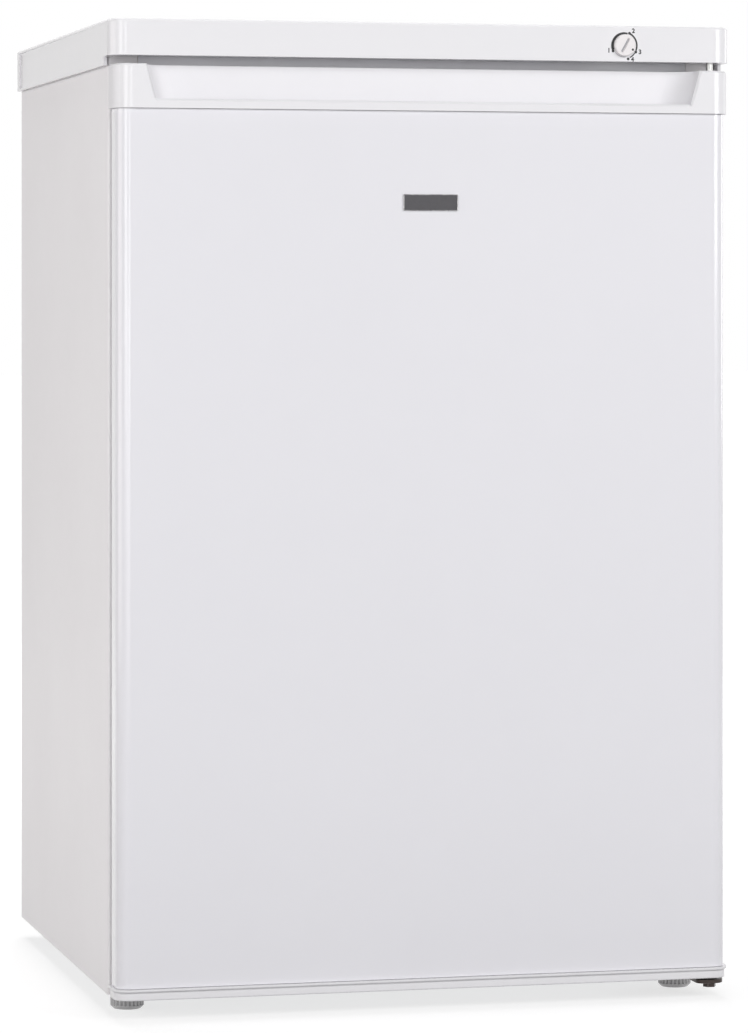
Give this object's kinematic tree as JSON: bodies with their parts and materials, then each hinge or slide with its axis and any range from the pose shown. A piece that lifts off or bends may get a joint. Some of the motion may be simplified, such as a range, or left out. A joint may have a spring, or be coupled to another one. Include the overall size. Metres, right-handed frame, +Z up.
{
  "type": "under-counter freezer",
  "caption": "Upright under-counter freezer: foamed cabinet with worktop, right-hinged door with a grip in its top cap, drawers on cold shelves, rear compressor and wire condenser.",
  "frame": {"origin": "on the floor, below the middle of the whole object's bounding box", "axes": "+Z up, +X towards the hinge side (right as seen from the front), +Y from the door towards the wall"},
  "size_m": [0.552, 0.56, 0.85],
  "materials": {
    "white_steel": "satin",
    "side_steel": "satin",
    "back_steel": "satin",
    "galvanised": "brushed",
    "zinc": "brushed",
    "hinge_steel": "brushed",
    "black_steel": "satin",
    "copper": "satin",
    "aluminium_tube": "satin",
    "white_tube": "satin",
    "white_plastic": "gloss",
    "worktop_board": "satin",
    "liner_plastic": "gloss",
    "drawer_plastic": "gloss",
    "clear_plastic": "gloss",
    "grey_plastic": "matte",
    "black_plastic": "matte",
    "white_rubber": "matte",
    "black_rubber": "matte",
    "foam": "matte"
  },
  "bodies": {
    "cabinet": {"side_panel_left": "side_steel", "side_panel_right": "side_steel", "top_panel": "galvanised", "top_front_rail": "white_steel", "base_plate": "galvanised", "back_panel": "back_steel", "compressor_carrier": "galvanised", "inner_liner": "liner_plastic", "cabinet_insulation": "foam", "worktop_frame": "white_plastic", "worktop_panel": "worktop_board", "cabinet_screws": "zinc", "thermostat_body": "grey_plastic", "thermostat_bracket": "zinc", "upper_hinge_bracket": "zinc", "upper_hinge_pin": "zinc", "lower_hinge_bracket": "hinge_steel", "lower_hinge_pin": "hinge_steel", "hinge_screws": "zinc", "evaporator_shelf_lower": "white_tube", "evaporator_shelf_middle": "white_tube", "evaporator_shelf_upper": "white_tube", "evaporator_risers": "aluminium_tube", "drawer_basket_lower": "drawer_plastic", "drawer_basket_middle": "drawer_plastic", "drawer_basket_upper": "drawer_plastic", "drawer_front_lower": "clear_plastic", "drawer_front_middle": "clear_plastic", "drawer_front_upper": "clear_plastic", "compressor_lower_shell": "black_steel", "compressor_upper_shell": "black_steel", "compressor_foot_plate": "black_steel", "compressor_grommets": "black_rubber", "compressor_bolts": "zinc", "terminal_cover": "black_plastic", "cord_gland": "black_plastic", "filter_drier": "copper", "discharge_tube": "copper", "suction_tube": "copper", "capillary_tube": "copper", "condenser_tube": "black_steel", "condenser_wires": "black_steel", "condenser_brackets": "black_plastic", "rear_feet": "grey_plastic", "foot_inserts": "zinc"},
    "door": {"door_outer_panel": "white_steel", "door_top_cap": "white_plastic", "door_bottom_cap": "white_plastic", "door_inner_liner": "liner_plastic", "door_insulation": "foam", "door_gasket": "white_rubber", "hinge_bushes": "white_plastic", "hinge_plugs": "white_plastic"},
    "knob": {"thermostat_knob": "white_plastic", "thermostat_spindle": "zinc"},
    "left_foot_screw": {"foot_left_stud": "zinc"},
    "left_foot": {"foot_left_pad": "grey_plastic"},
    "right_foot_screw": {"foot_right_stud": "zinc"},
    "right_foot": {"foot_right_pad": "grey_plastic"}
  },
  "joints": [
    {"name": "door_hinge", "type": "hinge", "parent": "cabinet", "child": "door", "pos_m": [0.26, -0.26, 0.415], "axis": [0, 0, 1], "range_deg": [0, 130]},
    {"name": "thermostat_turn", "type": "hinge", "parent": "cabinet", "child": "knob", "pos_m": [0.178, -0.272, 0.833], "axis": [0, -1, 0], "range_deg": [-47, 235]},
    {"name": "left_foot_travel", "type": "slide", "parent": "cabinet", "child": "left_foot_screw", "axis": [0, 0, -1], "range_m": [0, 0.012]},
    {"name": "left_foot_turn", "type": "hinge", "parent": "left_foot_screw", "child": "left_foot", "pos_m": [-0.2475, -0.198, 0.007], "axis": [0, 0, -1], "range_deg": [0, 2880]},
    {"name": "right_foot_travel", "type": "slide", "parent": "cabinet", "child": "right_foot_screw", "axis": [0, 0, -1], "range_m": [0, 0.012]},
    {"name": "right_foot_turn", "type": "hinge", "parent": "right_foot_screw", "child": "right_foot", "pos_m": [0.2475, -0.198, 0.007], "axis": [0, 0, -1], "range_deg": [0, 2880]}
  ],
  "couplings": [
    {"joint": "left_foot_turn", "follows": "left_foot_travel", "rad_per_m": 4188.8},
    {"joint": "right_foot_turn", "follows": "right_foot_travel", "rad_per_m": 4188.8}
  ]
}
